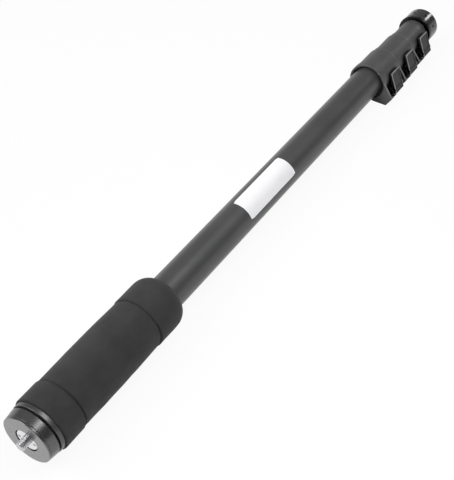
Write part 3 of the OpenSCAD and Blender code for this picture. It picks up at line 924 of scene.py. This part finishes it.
def rounded_rectangle(half_a, half_b, corner):
    """Points of a rectangle with rounded corners about the origin."""
    loop = []
    for turn, (side_a, side_b) in enumerate(((1, 1), (-1, 1), (-1, -1), (1, -1))):
        for step in range(LEVER_CORNER_STEPS + 1):
            angle = QUARTER * (turn + step / LEVER_CORNER_STEPS)
            loop.append(Vector((
                side_a * (half_a - corner) + corner * math.cos(angle),
                side_b * (half_b - corner) + corner * math.sin(angle),
            )))
    return loop


def lever_plate(k, x0, x1):
    """A lever's plate with rounded edges painted paler as highlight and wear, and a raised rim round its
    dished face.
    """
    half_x = (x1 - x0) / 2
    half_len = LEVER_LEN / 2
    middle = pin_of(k) + FACE_DOWN * (KNUCKLE_R - half_len)
    profile = rounded([
        (LEVER_CORE, LEVER_T, 0), (0, LEVER_T, LEVER_BACK_EDGE),
        (0, 0, LEVER_EDGE), (LEVER_RIM, 0, LEVER_RIM_EDGE),
        (LEVER_RIM + LEVER_SLOPE, LEVER_DISH, LEVER_RIM_EDGE), (LEVER_CORE, LEVER_DISH, 0),
    ])
    loops = []
    for inwards, depth in profile:
        corner = max(LEVER_CORNER - inwards, LEVER_LEAST_CORNER)
        loop = rounded_rectangle(half_x - inwards, half_len - inwards, corner)
        face = middle + FACE_NORMAL * (KNUCKLE_R - depth)
        loops.append([at(x0 + half_x + p.x, face + FACE_DOWN * p.y) for p in loop])
    plate = lofted("lever_plate", loops)
    count = len(loops[0])
    # painted highlight and wear: the rounded outer edge takes the paler finish
    for face in plate.data.polygons[LEVER_EDGE_ROW * count:(LEVER_EDGE_ROW + FILLET_STEPS) * count]:
        face.material_index = HIGHLIGHT_WEAR_FINISH
    return plate


def lever_knuckle(k, x0, x1):
    """A lever's knuckle with the cam's bulge towards the tube, bored for its pin."""
    pin = pin_of(k)
    out = pin.normalized()
    outline = []
    for step in range(KNUCKLE_STEPS):
        angle = TURN * step / KNUCKLE_STEPS
        towards = Vector((math.cos(angle), math.sin(angle)))
        centre = pin if towards.dot(out) > 0 else pin - out * CAM_LIFT
        outline.append(centre + towards * KNUCKLE_R)
    bore = rod("pin_bore", at(x0 - OVERCUT, pin), at(x1 + OVERCUT, pin), PIN_R + LEVER_BORE_FIT)
    return cut(extruded("lever_knuckle", outline, x0, x1, LEVER_BACK_EDGE), bore)


def lock_lever(k):
    node = f"lock_lever_{k}"
    x0, x1 = span(node)
    lever = joined(f"{node}_moulded", lever_plate(k, x0, x1), lever_knuckle(k, x0, x1))
    stand_for(lever, node)
    # the rounded edge rows take the paler finish of painted highlight and wear
    lever.data.materials.append(FINISHES["lever_edge"])


# Foot

NECK_R = 9.45
CLIP_ROOM_R = 10.7
CLIP_FIT = 0.1
SOLE_SEAT_R = 12.62
SOLE_BORE_R = 3.3
SOLE_BORE_EDGE = 0.3
SOLE_EDGE = 0.35
CUP_END_EDGE = 2.0
RING_EDGE = 0.35
GRIP_HOLE_R = 1.15
GRIP_HOLE_DEPTH = 3.0
GRIP_HOLE_X = 6.1
GRIP_HOLE_TURN = math.radians(21)
GRIP_HOLES = 8


def foot_ring():
    node = "foot_ring"
    x0, x1 = span(node)
    r = outer_radius(node)
    outline = rounded([(x0, TUBE_R[4], 0), (x0, r, RING_EDGE), (x1, r, RING_EDGE), (x1, TUBE_R[4], 0)])
    stand_for(turned("foot_ring_turned", outline), node)


def foot_cup():
    """The foot's cup with small grip holes all around."""
    node = "foot_cup"
    x0, x1 = span(node)
    r = outer_radius(node)
    sole_x = span("foot_sole")[0]
    clip_x = span("foot_clip")[0] - CLIP_FIT
    outline = rounded([
        (x0, NECK_R, 0), (x0, r, EDGE), (x1, r, CUP_END_EDGE), (x1, SOLE_SEAT_R, 0),
        (sole_x, SOLE_SEAT_R, 0), (sole_x, CLIP_ROOM_R, 0), (clip_x, CLIP_ROOM_R, 0), (clip_x, NECK_R, 0),
    ])
    holes = []
    for i in range(GRIP_HOLES):
        angle = GRIP_HOLE_TURN + TURN * i / GRIP_HOLES
        bottom = on_axis(x0 + GRIP_HOLE_X, r - GRIP_HOLE_DEPTH, angle)
        top = on_axis(x0 + GRIP_HOLE_X, r + OVERCUT, angle)
        holes.append(rod("grip_hole", bottom, top, GRIP_HOLE_R))
    stand_for(cut(turned("foot_cup_turned", outline), *holes), node)


def foot_sole():
    node = "foot_sole"
    x0, x1 = span(node)
    r = outer_radius(node)
    outline = rounded([
        (x0, SOLE_BORE_R, 0), (x0, r, 0), (x1, r, SOLE_EDGE), (x1, SOLE_BORE_R, SOLE_BORE_EDGE),
    ])
    stand_for(turned("foot_sole_moulded", outline), node)


platform_disc()
head_washer()
head_plug()
stud_flange()
stud_thread()
foam_grip()
label_sheet()
for k in LOCKS:
    lock_collar(k)
    lock_lever(k)
foot_ring()
foot_cup()
foot_sole()

# CAD nodes that keep their own shape

for name, piece in nodes.items():
    dress(piece, name)

# Stage

FLOOR_R = 10000.0
FLOOR_SIDES = 96
BACKDROP_H = 1400.0
FLOOR_GREY = 0.92
FLOOR_ROUGH = 0.9
FLOOR_GLOW = 0.92  # share of plain white that the floor shows to the camera and to mirrors
GRIP_CONTACT_X = 126.0  # stations at which the grip and the first lock's ear touch the floor
EAR_CONTACT_X = 442.0


def floor_paper():
    """Pale paper that takes shadows, and looks nearly white by itself to the camera and in mirrors."""
    made = Finish("floor_paper")
    made.surface(
        Base_Color=(FLOOR_GREY, FLOOR_GREY, FLOOR_GREY, 1),
        Roughness=FLOOR_ROUGH,
        Specular_IOR_Level=0.0,
    )
    glow = made.node("ShaderNodeEmission", {"Color": (1, 1, 1, 1), "Strength": 1.0})
    path = made.node("ShaderNodeLightPath")
    seen = made.node("ShaderNodeMath", {0: path.outputs["Is Camera Ray"], 1: path.outputs["Is Glossy Ray"]})
    seen = made.node("ShaderNodeMath", {0: seen.outputs[0], 1: path.outputs["Is Transmission Ray"]})
    inputs = {0: seen.outputs[0], 1: FLOOR_GLOW}
    share = made.node("ShaderNodeMath", inputs, operation="MULTIPLY", use_clamp=True)
    mix = made.node("ShaderNodeMixShader", {0: share.outputs[0]})
    made.feed(mix.inputs[1], made.shader.outputs[0])
    made.feed(mix.inputs[2], glow.outputs[0])
    made.feed(made.tree.nodes["Material Output"].inputs["Surface"], mix.outputs[0])
    return made.material


def floor():
    """A plain pale round floor with a low wall, which touches the grip and the first lock's ear."""
    low = -outer_radius("foam_grip")
    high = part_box("lock_collar_1")[0].z / MM
    slope = math.atan2(high - low, EAR_CONTACT_X - GRIP_CONTACT_X)
    turns = [TURN * i / FLOOR_SIDES for i in range(FLOOR_SIDES)]
    points = [(FLOOR_R * math.cos(a), FLOOR_R * math.sin(a), z) for z in (0.0, BACKDROP_H) for a in turns]
    piece = solid("floor", points, [tuple(range(FLOOR_SIDES))] + grid_faces(2, FLOOR_SIDES, False))
    piece.location = (GRIP_CONTACT_X * MM, 0, low * MM)
    piece.rotation_euler = (0, -slope, 0)
    piece.data.materials.append(floor_paper())


WORLD_DARK = 0.08
WORLD_PALE = 0.38
WORLD_PALE_SIDE = Vector((0, 0.75, 0.66)).normalized()
WORLD_DARK_AT = -0.6  # cosines of the angle to the pale side at which the world is dark, and pale
WORLD_PALE_AT = 0.7


def world():
    """A studio that is dim on the lever side and paler overhead and behind."""
    made = bpy.data.worlds.new("studio")
    bpy.context.scene.world = made
    made.use_nodes = True
    tree = made.node_tree
    place = tree.nodes.new("ShaderNodeTexCoord")
    towards = tree.nodes.new("ShaderNodeVectorMath")
    towards.operation = "DOT_PRODUCT"
    towards.inputs[1].default_value = WORLD_PALE_SIDE
    tree.links.new(place.outputs["Generated"], towards.inputs[0])
    level = tree.nodes.new("ShaderNodeMapRange")
    level.inputs["From Min"].default_value = WORLD_DARK_AT
    level.inputs["From Max"].default_value = WORLD_PALE_AT
    level.inputs["To Min"].default_value = WORLD_DARK
    level.inputs["To Max"].default_value = WORLD_PALE
    tree.links.new(towards.outputs["Value"], level.inputs["Value"])
    tree.links.new(level.outputs["Result"], tree.nodes["Background"].inputs["Strength"])
    tree.nodes["Background"].inputs["Color"].default_value = (1, 1, 1, 1)


def softbox(name, place, aim, size, radiance):
    """A rectangular lamp, in metres, that shines at a point with the given radiance of its face."""
    lamp = bpy.data.lights.new(name, "AREA")
    lamp.shape = "RECTANGLE"
    lamp.size, lamp.size_y = size
    lamp.energy = radiance * math.pi * size[0] * size[1]
    made = bpy.data.objects.new(name, lamp)
    bpy.context.scene.collection.objects.link(made)
    made.location = place
    made.rotation_euler = (Vector(aim) - Vector(place)).to_track_quat("-Z", "X").to_euler()
    made.visible_camera = False


CAMERA_AT = Vector((-198.6, -269.5, 468.6)) * MM
CAMERA_LOOK = Vector((0.5994, 0.3923, -0.6977))
CAMERA_LENS = 71.16


def camera():
    """A camera above the platform that looks along the tubes towards the foot."""
    made = bpy.data.objects.new("camera", bpy.data.cameras.new("camera"))
    bpy.context.scene.collection.objects.link(made)
    made.data.lens = CAMERA_LENS
    made.location = CAMERA_AT
    made.rotation_euler = CAMERA_LOOK.to_track_quat("-Z", "Y").to_euler()
    bpy.context.scene.camera = made


floor()
world()
softbox("overhead", place=(0.85, -0.42, 1.05), aim=(0.2, -0.42, 0), size=(0.5, 0.95), radiance=1.1)
softbox("over_head", place=(0.18, -0.15, 0.44), aim=(0, 0, 0), size=(0.22, 0.31), radiance=5.0)
softbox("over_foot", place=(0.817, -0.097, 0.176), aim=(0.53, 0, 0), size=(0.06, 0.045), radiance=13.0)
softbox("key", place=(-1.1, 1.2, 1.5), aim=(0.2, 0, 0), size=(1.6, 1.6), radiance=4.2)
camera()
bpy.context.scene.view_settings.view_transform = "Standard"
